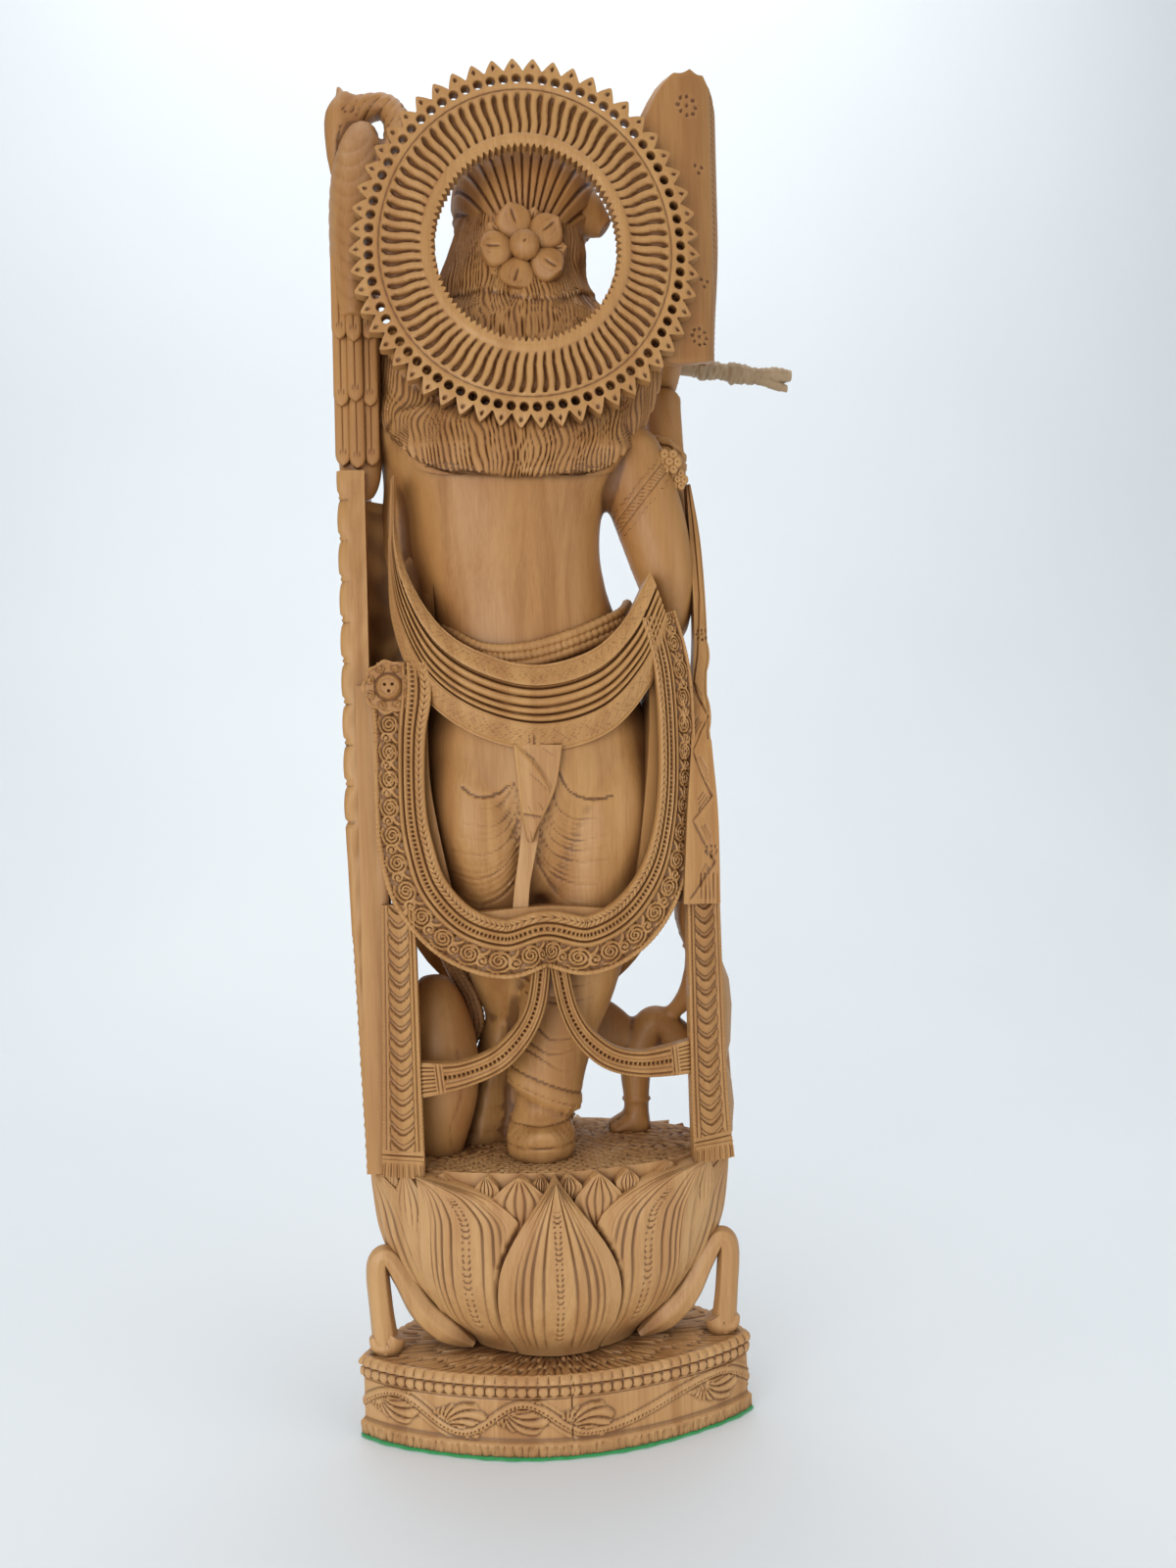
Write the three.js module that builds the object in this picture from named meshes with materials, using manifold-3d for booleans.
// A carved wooden flute player under a ring halo, standing on a lotus and an oval plinth.
// Millimetres, +Z up. The figure looks along -Y, so its own left is +X and its back is +Y.
// The origin is the middle of the felt's underside.
import * as THREE from "three";
import { mergeVertices } from "three/addons/utils/BufferGeometryUtils.js";
import Module from "manifold-3d";

const wasm = await Module();
wasm.setup();

// Felt and plinth
const FELT_THICKNESS = 1.2;
const FELT_INSET = 1;
const PLINTH_WIDTH = 176;
const PLINTH_DEPTH = 107;
const PLINTH_HEIGHT = 34;
const FOOT_BAND_HEIGHT = 7;
const BEAD_BAND_HEIGHT = 5;
const RIM_HEIGHT = 3;
const FRIEZE_DEPTH = 1.2;
const PLINTH_SIDES = 32;
// Lotus
const LOTUS_WIDTH = 160;
const LOTUS_DEPTH = 94;
const LOTUS_HEIGHT = 84;
const PETAL_RELIEF = 5;
const STALK_THICKNESS = 11;
// Figure: its pose and proportions are shares of its height, from the lotus to the halo's top
const FIGURE_HEIGHT = 480;
// Halo
const HALO_DIAMETER = 157;
const HALO_OPENING = 84;
const HALO_THICKNESS = 7;
const HALO_TEETH = 54;
const HALO_TOOTH = 6.5;
const HALO_BAND = 5;
const HALO_RIB_DEPTH = 2;
const HALO_BOW = 10;
// Flute
const FLUTE_LENGTH = 138;
const FLUTE_DIAMETER = 9;
// Space between pieces that are separate
const GAP = 0.3;

// The block's back is the flatter side: the share of its depth that lies behind its widest line
const BACK_SHARE = 0.305;
// The halo is a little narrower than it is tall
const HALO_SQUEEZE = 0.955;
// How much the flute drops for each millimetre that it runs outwards
const FLUTE_SLOPE = -0.13;

const tau = 2 * Math.PI;
const lerp = THREE.MathUtils.lerp;
const vec = (x, y, z) => new THREE.Vector3(x, y, z);

const plinthBottom = FELT_THICKNESS + GAP;
const plinthTop = plinthBottom + PLINTH_HEIGHT;
const lotusTop = plinthTop + LOTUS_HEIGHT;
// The figure is drawn at a height of 480 with its feet at 120, and scaled from there
const DRAWN_HEIGHT = 480;
const DRAWN_FEET = 120;
const unit = FIGURE_HEIGHT / DRAWN_HEIGHT;
const at = (x, y, z) => vec(x * unit, y * unit, lotusTop + (z - DRAWN_FEET) * unit);

// A three.js geometry as a solid with its faces outwards
function solidOf(geometry) {
  geometry.deleteAttribute("normal");
  geometry.deleteAttribute("uv");
  const merged = mergeVertices(geometry, 1e-4);
  const points = merged.attributes.position;
  const faces = new Uint32Array(merged.index.array);
  const [a, b, c] = [vec(), vec(), vec()];
  let volume = 0;
  for (let i = 0; i < faces.length; i += 3) {
    a.fromBufferAttribute(points, faces[i]);
    b.fromBufferAttribute(points, faces[i + 1]);
    c.fromBufferAttribute(points, faces[i + 2]);
    volume += a.dot(b.cross(c));
  }
  if (volume < 0)
    for (let i = 0; i < faces.length; i += 3)
      [faces[i + 1], faces[i + 2]] = [faces[i + 2], faces[i + 1]];
  return new wasm.Manifold(
    new wasm.Mesh({ numProp: 3, vertProperties: points.array, triVerts: faces }),
  );
}

const join = (solids) => solids.reduce((sum, next) => sum.add(next));

// Values between the knots of a list at t from 0 to 1, on a smooth curve through them
function along(knots, t) {
  const last = knots.length - 1;
  const place = THREE.MathUtils.clamp(t, 0, 1 - 1e-9) * last;
  const i = Math.floor(place);
  const s = place - i;
  return knots[i].map((value, k) => {
    const before = (knots[i - 1] ?? knots[i])[k];
    const next = knots[i + 1][k];
    const after = (knots[i + 2] ?? knots[i + 1])[k];
    const slope0 = (next - before) / 2;
    const slope1 = (after - value) / 2;
    return (
      value * (2 * s ** 3 - 3 * s ** 2 + 1) +
      slope0 * (s ** 3 - 2 * s ** 2 + s) +
      next * (-2 * s ** 3 + 3 * s ** 2) +
      slope1 * (s ** 3 - s ** 2)
    );
  });
}

// A closed skin over rings: place(t, angle) gives the ring at t from 0 to 1
function loft(rows, sides, place) {
  const geometry = new THREE.CylinderGeometry(1, 1, 1, sides, rows);
  const points = geometry.attributes.position;
  const centre = (t) => {
    const sum = vec(0, 0, 0);
    for (let i = 0; i < sides; i++) sum.add(place(t, (i * tau) / sides));
    return sum.divideScalar(sides);
  };
  for (let i = 0; i < points.count; i++) {
    const [x, y, z] = [points.getX(i), points.getY(i), points.getZ(i)];
    const q = Math.hypot(x, z) < 0.5 ? centre(y + 0.5) : place(y + 0.5, Math.atan2(z, x));
    points.setXYZ(i, q.x, q.y, q.z);
  }
  return solidOf(geometry);
}

// A body over level sections, each [z, centre x, centre y, half width, depth behind, depth in front]
function body(rows, sides, sections) {
  return loft(rows, sides, (t, a) => {
    const [z, x, y, wide, back, front] = along(sections, t);
    const s = Math.sin(a);
    return at(x + wide * Math.cos(a), y + (s > 0 ? back : front) * s, z);
  });
}

// A limb through knots [x, y, z, half width, half depth], its depth nearest to the given direction
function limb(rows, sides, knots, deep = vec(0, 1, 0)) {
  const middle = (t) => at(...along(knots, t).slice(0, 3));
  return loft(rows, sides, (t, a) => {
    const [, , , wide, thick] = along(knots, t);
    const ahead = middle(t + 0.01).sub(middle(t - 0.01)).normalize();
    const side = vec().crossVectors(ahead, deep).normalize();
    const up = vec().crossVectors(side, ahead);
    return middle(t)
      .addScaledVector(side, wide * unit * Math.cos(a))
      .addScaledVector(up, thick * unit * Math.sin(a));
  });
}

// A thick sheet between its two faces, outer(u, v) and inner(u, v)
function sheet(columns, rows, outer, inner) {
  const geometry = new THREE.BoxGeometry(1, 1, 1, columns, rows, 1);
  const points = geometry.attributes.position;
  for (let i = 0; i < points.count; i++) {
    const [u, v] = [points.getX(i) + 0.5, points.getY(i) + 0.5];
    const q = points.getZ(i) > 0 ? outer(u, v) : inner(u, v);
    points.setXYZ(i, q.x, q.y, q.z);
  }
  return solidOf(geometry);
}

// A strip seen from behind, through knots [x, z, half width]; its outer face is at y = face(x)
function strip(columns, rows, knots, face, thick) {
  const place = (u, v, sunk) => {
    const [x, z, half] = along(knots, u);
    const [x1, z1] = along(knots, u + 0.01);
    const [x0, z0] = along(knots, u - 0.01);
    const off = ((2 * v - 1) * half) / Math.hypot(x1 - x0, z1 - z0);
    const [px, pz] = [x - (z1 - z0) * off, z + (x1 - x0) * off];
    return at(px, face(px) - sunk, pz);
  };
  return sheet(columns, rows, (u, v) => place(u, v, 0), (u, v) => place(u, v, thick));
}

function ball(sides, x, y, z, wide, deep, tall) {
  const geometry = new THREE.SphereGeometry(1, sides, Math.max(4, Math.round(sides / 2)));
  const centre = at(x, y, z);
  geometry.rotateX(Math.PI / 2);
  geometry.scale(wide * unit, deep * unit, tall * unit);
  geometry.translate(centre.x, centre.y, centre.z);
  return solidOf(geometry);
}

// How far the block's plan reaches at a share of its half width: an arc with blunt ends
const bulge = (share) => Math.max(0, 1 - Math.abs(share) ** 1.8) ** 0.8;

// A point on the block's plan at an angle round it
function plan(angle, width, depth) {
  const reach = Math.sin(angle) > 0 ? BACK_SHARE : BACK_SHARE - 1;
  const across = Math.cos(angle);
  return vec((width / 2) * across, depth * (0.5 - BACK_SHARE + reach * bulge(across)), 0);
}

// The curved back and front of the block that the figure is cut from
const blockBack = (x) => 23 + 26 * bulge(x / 92);
const blockFront = (x) => -12 - 32 * bulge(x / 76);

function feltPad() {
  const cut = 2 * FELT_INSET;
  return loft(1, PLINTH_SIDES, (t, a) =>
    plan(a, PLINTH_WIDTH - cut, PLINTH_DEPTH - cut).setZ(t * FELT_THICKNESS),
  );
}

// The plinth: a foot band, a sunk frieze, a roll of beads and a sloping rim
function plinth() {
  const rollBottom = PLINTH_HEIGHT - RIM_HEIGHT - BEAD_BAND_HEIGHT;
  const profile = [
    [0, 0],
    [FOOT_BAND_HEIGHT, 0],
    [FOOT_BAND_HEIGHT + FRIEZE_DEPTH, FRIEZE_DEPTH],
    [rollBottom, FRIEZE_DEPTH],
    [rollBottom + BEAD_BAND_HEIGHT / 2, 0],
    [rollBottom + BEAD_BAND_HEIGHT, FRIEZE_DEPTH],
    [PLINTH_HEIGHT, FRIEZE_DEPTH + RIM_HEIGHT],
  ];
  const rows = profile.length - 1;
  return loft(rows, PLINTH_SIDES, (t, a) => {
    const [height, inset] = profile[Math.round(t * rows)];
    return plan(a, PLINTH_WIDTH - 2 * inset, PLINTH_DEPTH - 2 * inset).setZ(plinthBottom + height);
  });
}

// Half width and half depth of the lotus bowl, as shares, from its foot to its brim
const BOWL = [
  [0.4, 0.5],
  [0.7, 0.74],
  [0.86, 0.89],
  [0.95, 0.96],
  [0.985, 0.985],
  [1, 1],
];

// How the lotus's depth is shared out: behind its middle, and the middle's own shift backwards
const LOTUS_BACK_SHARE = 0.42;
const LOTUS_SHIFT = 0.09;

// A sine or cosine whose ends are a little drawn out, for a plan with soft corners
const soften = (value) => Math.sign(value) * Math.abs(value) ** 1.1;

// A point on the bowl at a share of its height, pushed outwards
function bowlPoint(share, angle, out = 0) {
  const [wide, deep] = along(BOWL, share);
  const [across, behind] = [soften(Math.cos(angle)), soften(Math.sin(angle))];
  const reach = LOTUS_DEPTH * (behind > 0 ? LOTUS_BACK_SHARE : 1 - LOTUS_BACK_SHARE);
  return vec(
    ((wide * LOTUS_WIDTH) / 2 + out) * across,
    LOTUS_DEPTH * LOTUS_SHIFT * deep + (deep * reach + out) * behind,
    lerp(plinthTop - GAP, lotusTop, share),
  );
}

// One petal: its middle and half width as angles round the bowl, and how far its tip leans
function petal(middle, halfWidth, lean, relief = PETAL_RELIEF) {
  const [foot, tip] = [0.04, 0.98];
  const [footWidth, tipWidth] = [0.3, 0.04];
  const width = (v) => Math.max(Math.sin(Math.PI * v ** 0.85) ** 0.7, v < 0.5 ? footWidth : tipWidth);
  const place = (u, v, out) => {
    const turn = (2 * u - 1) * halfWidth * width(v) + lean * v ** 2.5;
    return bowlPoint(lerp(foot, tip, v), middle + turn, out);
  };
  const crown = (u) => relief * (1 - 0.6 * (2 * u - 1) ** 2);
  const root = -0.8 * PETAL_RELIEF;
  return sheet(4, 4, (u, v) => place(u, v, crown(u)), (u, v) => place(u, v, root));
}

// A leaf stalk that comes out from under the bowl and bends down to the plinth
function stalk(side) {
  const r = STALK_THICKNESS / 2;
  const reach = PLINTH_WIDTH / 2;
  const behind = 0.16 * PLINTH_DEPTH;
  const knots = [
    [0.42, 0.04],
    [0.66, 0.28],
    [0.82, 0.52],
    [0.885, 0.47],
    [0.875, 0.24],
    [0.84, 0],
  ].map(([out, up]) => [out * reach, plinthTop + up * LOTUS_HEIGHT]);
  return loft(8, 6, (t, a) => {
    const [x, z] = along(knots, t);
    const [x1, z1] = along(knots, t + 0.01);
    const [x0, z0] = along(knots, t - 0.01);
    const across = (r * Math.cos(a)) / Math.hypot(x1 - x0, z1 - z0);
    const low = Math.max(z - (x1 - x0) * across, plinthTop - GAP);
    return vec(side * (x + (z1 - z0) * across), behind + r * Math.sin(a), low);
  });
}

function lotus() {
  const made = [loft(4, 20, (t, a) => bowlPoint(t, a)), stalk(1), stalk(-1)];
  for (const side of [1, -1]) {
    const middle = (side * Math.PI) / 2;
    made.push(petal(middle, 0.36, 0, 1.5 * PETAL_RELIEF));
    for (const end of [1, -1]) made.push(petal(middle + end * 0.62, 0.34, end * 0.3));
    made.push(petal(side > 0 ? 0 : Math.PI, 0.5, 0));
  }
  return made;
}

// The legs under their cloth, one crossed in front of the other, with pleats hanging between
function legs() {
  const hips = body(5, 14, [
    [238, 0, 6, 38, 20, 20],
    [262, 1, 7, 50, 28, 25],
    [285, 1, 8, 52, 33, 27],
    [308, 1, 7, 50, 31, 27],
    [350, 4, 5, 36, 26, 23],
  ]);
  const standing = body(5, 9, [
    [146, 3, 15, 17, 15, 14],
    [160, 1, 13, 17, 16, 15],
    [190, -9, 10, 21, 20, 19],
    [225, -18, 9, 23, 24, 22],
    [270, -26, 11, 26, 28, 24],
    [300, -25, 10, 25, 26, 22],
  ]);
  const crossing = body(5, 9, [
    [138, 0, -28, 10, 9, 9],
    [165, 8, -20, 15, 14, 13],
    [205, 18, -4, 20, 20, 18],
    [248, 24, 8, 24, 27, 22],
    [280, 27, 12, 25, 28, 23],
    [300, 26, 10, 25, 26, 22],
  ]);
  const fall = [[118, 28, 20], [150, 23, 15], [180, 17, 11], [215, 9, 8]];
  const pleats = loft(2, 15, (t, a) => {
    const [z, x, wide] = along(fall, t);
    const fold = 1 + 0.25 * Math.cos(5 * a);
    return at(x + wide * Math.cos(a), -10 + 8 * fold * Math.sin(a), z);
  });
  return [hips, standing, crossing, pleats, ...feet()];
}

function feet() {
  const level = vec(0, 0, 1);
  return [
    limb(4, 8, [[5, 34, 126, 7, 8], [5, 24, 128, 13, 10], [5, 2, 127, 13, 8], [4, -20, 121, 12, 4]], level),
    body(2, 8, [[120, 5, 17, 13, 14, 12], [134, 5, 16, 12, 12, 11], [150, 4, 16, 12, 11, 11]]),
    limb(2, 8, [[0, -27, 142, 9, 8], [-3, -32, 130, 10, 7], [-6, -37, 119, 10, 5]]),
  ];
}

// The coat's skirt hem: a broad carved border that runs down one side, across and up the other
function skirt() {
  const behind = [
    [66, 322, 12],
    [67, 285, 11],
    [61, 244, 12],
    [42, 223, 13],
    [20, 217, 12],
    [2, 221, 12],
    [-17, 218, 12],
    [-38, 227, 13],
    [-53, 246, 12],
    [-57, 285, 9],
    [-51, 325, 9],
  ];
  const before = [
    [58, 328, 9],
    [64, 270, 11],
    [50, 205, 12],
    [22, 180, 11],
    [0, 188, 10],
    [-20, 180, 11],
    [-46, 205, 12],
    [-58, 270, 11],
    [-52, 328, 9],
  ];
  const side = (x, half) => [[x, 330, half], [x * 1.05, 285, half], [x * 0.9, 235, half + 2]];
  return [
    strip(18, 1, behind, (x) => blockBack(x) - 1, 7),
    strip(10, 1, before, (x) => blockFront(x) + 6, 6),
    strip(3, 1, side(58, 9), (x) => blockBack(x) - 6, 52),
    strip(3, 1, side(-50, 7), (x) => blockBack(x) - 6, 52),
    strip(2, 1, [[30, 224, 8], [2, 226, 8], [-26, 224, 8]], () => 41, 22),
    strip(2, 1, [[24, 190, 8], [0, 196, 8], [-22, 190, 8]], () => -12, 24),
    ball(8, 66, blockBack(66) - 4, 323, 12, 7, 12),
  ];
}

// The shawl slung round the hips, its ends rising to the two arms
function shawl() {
  const top = [[61, 418], [60, 388], [46, 362], [22, 345], [-2, 334], [-26, 342], [-46, 368]];
  const bottom = [[65, 412], [64, 368], [52, 332], [27, 310], [0, 300], [-30, 308], [-53, 348]];
  const face = (u, v, sunk) => {
    const [x0, z0] = along(top, u);
    const [x1, z1] = along(bottom, u);
    const [x, z] = [lerp(x0, x1, v), lerp(z0, z1, v)];
    const swell = 5 * Math.sin(Math.PI * v) + 1.5 * Math.cos(3 * tau * v);
    return at(x, 28 + swell + 13 * Math.sqrt(Math.max(0, 1 - (x / 70) ** 2)) - sunk, z);
  };
  const belt = [
    [-44, 10, 350, 12, 9],
    [-30, -16, 344, 12, 7],
    [0, -25, 335, 12, 6],
    [32, -15, 344, 12, 7],
    [44, 8, 358, 12, 9],
  ];
  return [
    sheet(10, 6, (u, v) => face(u, v, 0), (u, v) => face(u, v, 22)),
    limb(6, 7, belt, vec(0, 0, 1)),
  ];
}

function torso() {
  return [
    body(7, 12, [
      [335, 4, 5, 38, 27, 23],
      [355, 5, 5, 33, 25, 20],
      [375, 6, 6, 33, 26, 20],
      [395, 8, 8, 39, 29, 23],
      [415, 11, 9, 47, 31, 26],
      [435, 12, 10, 56, 32, 27],
      [452, 11, 9, 50, 28, 23],
      [466, 8, 5, 26, 21, 17],
      [485, 4, 0, 14, 14, 13],
      [510, 3, -4, 13, 13, 13],
    ]),
    ball(8, 63, 8, 436, 16, 16, 17),
    ball(8, -41, 8, 436, 18, 16, 18),
  ];
}

// Where the flute meets the lips, and how far along it each hand holds it
const LIPS = [4, -42, 507];
const LEFT_GRIP = 16;
const RIGHT_GRIP = 69;

// A fist round the flute
function hand(grip) {
  const [x, y, z] = LIPS;
  return ball(8, x - grip, y, z + FLUTE_SLOPE * grip - 6, 12, 9, 15);
}

// Both arms bend up to the flute, which lies in front of the right shoulder
function arms() {
  const leftUpper = [
    [66, 6, 438, 14, 15],
    [73, 0, 405, 12, 13],
    [74, -12, 374, 10, 12],
    [72, -18, 362, 6, 8],
  ];
  const leftFore = [
    [73, -14, 372, 11, 11],
    [52, -34, 396, 10.5, 10.5],
    [22, -45, 438, 8.5, 8.5],
    [-8, -43, 486, 7, 8],
  ];
  const rightUpper = [
    [-42, 9, 440, 16, 16],
    [-51, 11, 412, 16.5, 16],
    [-58, 11, 384, 14, 14],
    [-62, 8, 362, 9, 10],
    [-63, 6, 352, 4, 5],
  ];
  const rightFore = [
    [-61, 4, 362, 9, 10],
    [-67, -6, 400, 11, 11],
    [-71, -16, 436, 9, 9],
    [-71, -20, 450, 8, 8],
    [-66, -32, 478, 11, 9],
  ];
  return [
    limb(3, 8, leftUpper),
    limb(4, 8, leftFore),
    hand(LEFT_GRIP),
    limb(4, 8, rightUpper),
    limb(4, 8, rightFore),
    hand(RIGHT_GRIP),
    ball(6, -64, 15, 437, 7, 9, 9),
  ];
}

// The hair hangs over the shoulders and ends in a broad arc across the back
function hair() {
  return body(7, 12, [
    [418, 8, 16, 8, 26, 4],
    [421, 8, 15, 27, 30, 6],
    [428, 9, 13, 43, 32, 8],
    [441, 10, 11, 57, 34, 12],
    [457, 10, 9, 57, 33, 12],
    [476, 10, 6, 46, 29, 14],
    [502, 9, 3, 36, 26, 16],
    [528, 6, 0, 32, 25, 18],
    [552, 4, -2, 26, 24, 18],
  ]);
}

function head() {
  const skull = ball(10, 3, -8, 528, 23, 26, 31);
  const nose = limb(2, 5, [[3, -31, 536, 2, 3], [3, -35, 526, 3, 4], [3, -33, 519, 4, 3]]);
  const crown = body(5, 12, [
    [536, 3, -4, 24, 27, 24],
    [548, 2, -3, 32, 29, 28],
    [564, 1, -3, 33, 30, 29],
    [580, 2, -5, 26, 25, 26],
    [596, 3, -10, 7, 7, 8],
  ]);
  const flowerSteps = [[17, 22], [20, 30], [12, 32], [6, 37]];
  const flower = loft(3, 20, (t, a) => {
    const [r, y] = along(flowerSteps, t);
    const petals = t > 0.4 ? 0 : 1.6 * Math.cos(5 * a);
    return at(3 + (r + petals) * Math.cos(a), y, 525 + (r + petals) * Math.sin(a));
  });
  return [skull, nose, crown, flower];
}

// A closed ring: place(i, j) gives the point at step i round the ring and step j round its section
function ring(around, section, place) {
  const geometry = new THREE.TorusGeometry(2, 1, section, around);
  const points = geometry.attributes.position;
  for (let n = 0; n < points.count; n++) {
    const q = place(n % (around + 1) % around, Math.floor(n / (around + 1)) % section);
    points.setXYZ(n, q.x, q.y, q.z);
  }
  return solidOf(geometry);
}

// The halo: a toothed ring with ribs on its back, bowed with the block's curved back
function halo() {
  const [outer, inner] = [HALO_DIAMETER / 2, HALO_OPENING / 2];
  const middle = at(4, 45, 518.5);
  const band = inner + HALO_BAND;
  const root = outer - HALO_TOOTH;
  return ring(2 * HALO_TEETH, 6, (i, j) => {
    const odd = i % 2;
    const angle = (i * Math.PI) / HALO_TEETH;
    const edge = odd ? root : outer;
    const sunk = odd ? HALO_RIB_DEPTH : 0;
    const [r, back] = [
      [inner, 0],
      [inner, HALO_THICKNESS],
      [band, HALO_THICKNESS - sunk],
      [root - HALO_BAND, HALO_THICKNESS - sunk],
      [edge, HALO_THICKNESS],
      [edge, 0],
    ][j];
    const [x, up] = [HALO_SQUEEZE * r * Math.cos(angle), r * Math.sin(angle)];
    const bow = HALO_THICKNESS / 2 + HALO_BOW * (x / outer) ** 2;
    return vec(x, back - bow, up).add(middle);
  });
}

// The bird on the trunk: its neck bends over and looks down, its tail hangs in three tiers
function bird() {
  const made = [
    limb(4, 7, [
      [79, 15, 494, 9, 15],
      [78, 14, 530, 12, 18],
      [77, 11, 560, 12, 15],
      [74, 9, 580, 9, 10],
      [70, 8, 586, 4, 5],
    ]),
    limb(5, 7, [
      [64, 12, 562, 9, 9],
      [57, 9, 580, 8, 8],
      [62, 5, 597, 6, 7],
      [72, 3, 599, 6, 7],
      [82, 2, 594, 9, 8],
    ]),
    limb(3, 6, [
      [80, 2, 604, 5, 6],
      [84, 2, 594, 8, 8],
      [87, 2, 580, 5, 6],
      [88, 2, 566, 1.5, 2],
    ]),
  ];
  const tail = (u, v, sunk) => {
    const ridge = Math.abs(Math.sin(3 * Math.PI * u));
    const z = 518 - 92 * v - (v > 0 ? 5 * ridge : 0);
    const step = 2.5 * Math.sin(6 * Math.PI * v - 1.2);
    return at(69 + 20 * u, 27 + 2 * ridge - 4 * v + step - sunk, z);
  };
  return [...made, sheet(6, 7, (u, v) => tail(u, v, 0), (u, v) => tail(u, v, 12))];
}

// The trunk with its wavy edge, the two ribbon posts, and the cloth that hangs from the right arm
function posts() {
  const [foot, smoothTop, trunkTop] = [118, 270, 442];
  const trunkEdge = (z) =>
    lerp(84, 88, Math.min(1, (z - foot) / (smoothTop - foot))) + (z > smoothTop ? Math.sin(z / 5) : 0);
  const trunkFace = (u, v, y, taper) => {
    const z = lerp(foot, trunkTop, v);
    return at(lerp(76 + taper, trunkEdge(z) - taper, u), y, z);
  };
  const trunk = sheet(1, 12, (u, v) => trunkFace(u, v, 26, 0), (u, v) => trunkFace(u, v, -14, 2));
  const outer = (x) => blockBack(x) - 1;
  const cloth = [
    [430, -66, -72, 6],
    [400, -68, -76, 13],
    [357, -70, -79, 14],
    [315, -67, -79, 18],
    [270, -63, -79, 25],
    [236, -61, -78, 28],
  ];
  const clothFace = (u, v, sunk) => {
    const [z, near, far, y] = along(cloth, v);
    return at(lerp(near, far, u), y - sunk, z);
  };
  return [
    trunk,
    strip(2, 2, [[65, 252, 9], [65, 160, 9.5], [65, foot, 10.5]], outer, 9),
    strip(2, 2, [[-67, 248, 8], [-69, 160, 9], [-70, foot, 10.5]], outer, 9),
    strip(3, 1, [[77, 332, 5], [76, 250, 6], [76, foot, 6]], () => 34, 14),
    sheet(1, 7, (u, v) => clothFace(u, v, 0), (u, v) => clothFace(u, v, 8)),
  ];
}

// The two girdle ends swing out above the lotus to the ribbon posts
function girdleEnds() {
  const face = (x) => blockBack(x) - 3;
  const left = [[3, 228, 4], [7, 192, 4], [20, 172, 5], [38, 163, 5.5], [58, 160, 7]];
  const right = [[-1, 228, 4], [-7, 190, 4], [-20, 171, 5], [-38, 164, 5.5], [-63, 165, 7]];
  const knot = [[1, 240, 7], [1, 215, 7], [1, 195, 5]];
  return [strip(6, 1, left, face, 6), strip(6, 1, right, face, 6), strip(2, 1, knot, () => 43, 26)];
}

// The tall leaf beside the halo, curved round the block's right edge, and the stem that carries it
function leaf() {
  const rim = [
    [-50, 34, 492, 578],
    [-62, 32, 482, 600],
    [-75, 28, 478, 606],
    [-84, 20, 478, 601],
    [-88, 6, 482, 588],
    [-85, -10, 488, 566],
  ];
  const face = (u, v, sunk) => {
    const [x, y, low, high] = along(rim, u);
    return at(x + 0.6 * sunk, y - 0.9 * sunk, lerp(low, high, v));
  };
  return [
    sheet(6, 3, (u, v) => face(u, v, 0), (u, v) => face(u, v, 5)),
    limb(2, 8, [[-66, -34, 478, 8, 7], [-72, -10, 488, 8, 7], [-75, 16, 494, 8, 7]], vec(0, 0, 1)),
  ];
}

// The cow that looks up at the player from the left
function cow() {
  const level = vec(0, 0, 1);
  const shanks = [42, 58].map((x) =>
    limb(2, 6, [[x, -36, 118, 6, 6], [x, -36, 138, 5, 6], [x, -34, 160, 8, 9]]),
  );
  const haunch = body(4, 7, [
    [118, 52, 6, 11, 8, 12],
    [145, 50, 6, 17, 13, 16],
    [170, 50, 5, 17, 14, 18],
    [190, 51, 3, 12, 10, 14],
    [200, 52, 2, 6, 5, 8],
  ]);
  const barrel = [
    [52, 4, 168, 14, 22],
    [51, -18, 166, 14, 20],
    [49, -36, 170, 12, 16],
    [43, -44, 190, 8, 10],
    [38, -46, 208, 9, 9],
  ];
  const muzzle = [[44, -45, 210, 8, 8], [30, -47, 211, 7, 7], [18, -48, 214, 5, 5]];
  return [haunch, limb(4, 7, barrel, level), limb(2, 7, muzzle, level), ...shanks];
}

// The small attendant who sits at the right with one knee raised
function attendant() {
  const level = vec(0, 0, 1);
  const seated = body(7, 7, [
    [118, -67, -18, 17, 18, 20],
    [140, -68, -18, 16, 15, 18],
    [170, -70, -16, 10, 10, 11],
    [192, -69, -16, 14, 11, 12],
    [206, -69, -16, 7, 7, 7],
    [218, -68, -18, 10, 10, 11],
    [232, -69, -19, 9, 9, 9],
    [247, -70, -16, 3, 3, 3],
  ]);
  const raisedLeg = [
    [-66, -18, 148, 12, 13],
    [-52, -20, 164, 9, 10],
    [-44, -20, 152, 8, 9],
    [-43, -18, 132, 6, 7],
    [-43, -18, 119, 7, 8],
  ];
  const foot = [[-48, -18, 123, 7, 6], [-40, -18, 123, 8, 6], [-30, -18, 120, 8, 4]];
  const arm = [[-70, -8, 200, 6, 6], [-66, -10, 182, 5, 5], [-57, -16, 170, 4, 4], [-48, -20, 168, 5, 4]];
  const cloth = [[-46, -22, 160, 5, 8], [-30, -22, 168, 12, 8], [-4, -22, 182, 13, 8]];
  return [
    seated,
    limb(4, 6, raisedLeg),
    limb(2, 6, foot, level),
    limb(3, 5, arm),
    limb(2, 5, cloth),
  ];
}

// The flute's middle line: from the lips outwards past the right hand
function flutePoint(run) {
  return at(...LIPS).add(vec(-run, 0, FLUTE_SLOPE * run));
}

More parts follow.
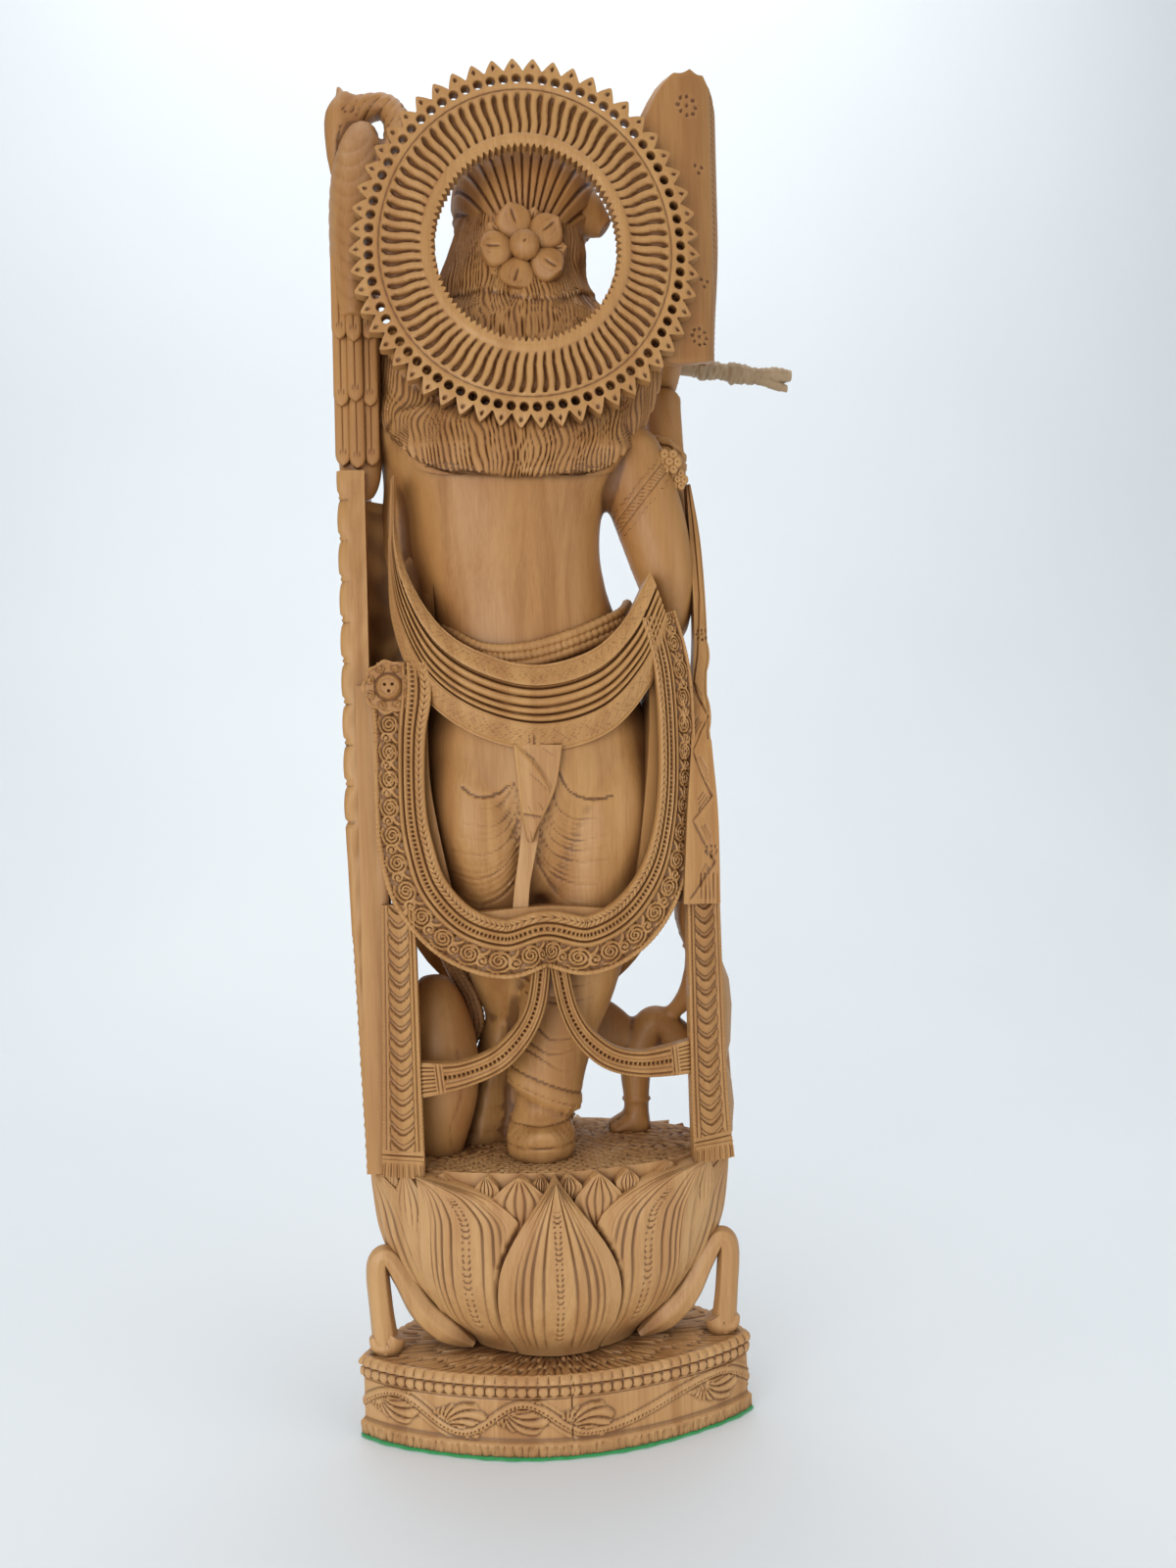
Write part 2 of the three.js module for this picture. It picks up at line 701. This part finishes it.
// A round piece of the flute between two shares of its length, with its radius and lift at each end
function fluteLength(sides, from, to, radius, lift = [0, 0]) {
  return loft(1, sides, (t, a) => {
    const r = lerp(radius[0], radius[1], t);
    const p = flutePoint(lerp(from, to, t) * FLUTE_LENGTH);
    return p.add(vec(0, r * Math.cos(a), r * Math.sin(a) + lerp(lift[0], lift[1], t)));
  });
}

// The flute: a rod with two rings, ending in an open beak
function flute() {
  const r = FLUTE_DIAMETER / 2;
  return join([
    fluteLength(10, 0, 0.84, [r, r]),
    fluteLength(10, 0.65, 0.7, [1.25 * r, 1.25 * r]),
    fluteLength(10, 0.78, 0.82, [1.2 * r, 1.2 * r]),
    fluteLength(8, 0.8, 1, [0.8 * r, 0.5 * r], [0.3 * r, 0.9 * r]),
    fluteLength(8, 0.8, 0.99, [0.8 * r, 0.5 * r], [-0.3 * r, -1.1 * r]),
  ]);
}

// The bore through the hands that the flute lies in
function fluteBore() {
  const r = FLUTE_DIAMETER / 2 + GAP;
  const [mouth, rings, past] = [-GAP / FLUTE_LENGTH, 0.6, 1.02];
  return join([
    fluteLength(10, mouth, rings, [r, r]),
    fluteLength(10, rings, past, [1.6 * r, 1.6 * r]),
  ]);
}

// Everything above the felt
function upwards(bottom) {
  const size = 8 * FIGURE_HEIGHT;
  const box = new THREE.BoxGeometry(size, size, size);
  box.translate(0, 0, bottom + size / 2);
  return solidOf(box);
}

function carving() {
  const standing = join([
    ...legs(),
    ...skirt(),
    ...shawl(),
    ...torso(),
    ...arms(),
    hair(),
    ...head(),
    halo(),
    ...bird(),
    ...posts(),
    ...girdleEnds(),
    ...leaf(),
    ...cow(),
    ...attendant(),
  ]);
  const onLotus = standing.subtract(fluteBore()).intersect(upwards(lotusTop - GAP));
  return join([plinth(), ...lotus(), onLotus]);
}

const wood = new THREE.MeshStandardMaterial({ color: 0xc39761, roughness: 0.55, metalness: 0 });
const fluteWood = new THREE.MeshStandardMaterial({ color: 0xb59a78, roughness: 0.6, metalness: 0 });
const felt = new THREE.MeshStandardMaterial({ color: 0x1f9a3c, roughness: 1, metalness: 0 });

function meshOf(name, solid, material) {
  const { numProp, vertProperties, triVerts } = solid.getMesh();
  const count = vertProperties.length / numProp;
  const points = new Float32Array(count * 3);
  for (let i = 0; i < count; i++)
    points.set(vertProperties.subarray(i * numProp, i * numProp + 3), i * 3);
  const geometry = new THREE.BufferGeometry();
  geometry.setAttribute("position", new THREE.BufferAttribute(points, 3));
  geometry.setIndex(new THREE.BufferAttribute(triVerts, 1));
  geometry.computeVertexNormals();
  const mesh = new THREE.Mesh(geometry, material);
  mesh.name = name;
  return mesh;
}

const figure = new THREE.Group();
figure.add(meshOf("felt_pad", feltPad(), felt));
figure.add(meshOf("carving", carving(), wood));
figure.add(meshOf("flute", flute(), fluteWood));

export default figure;
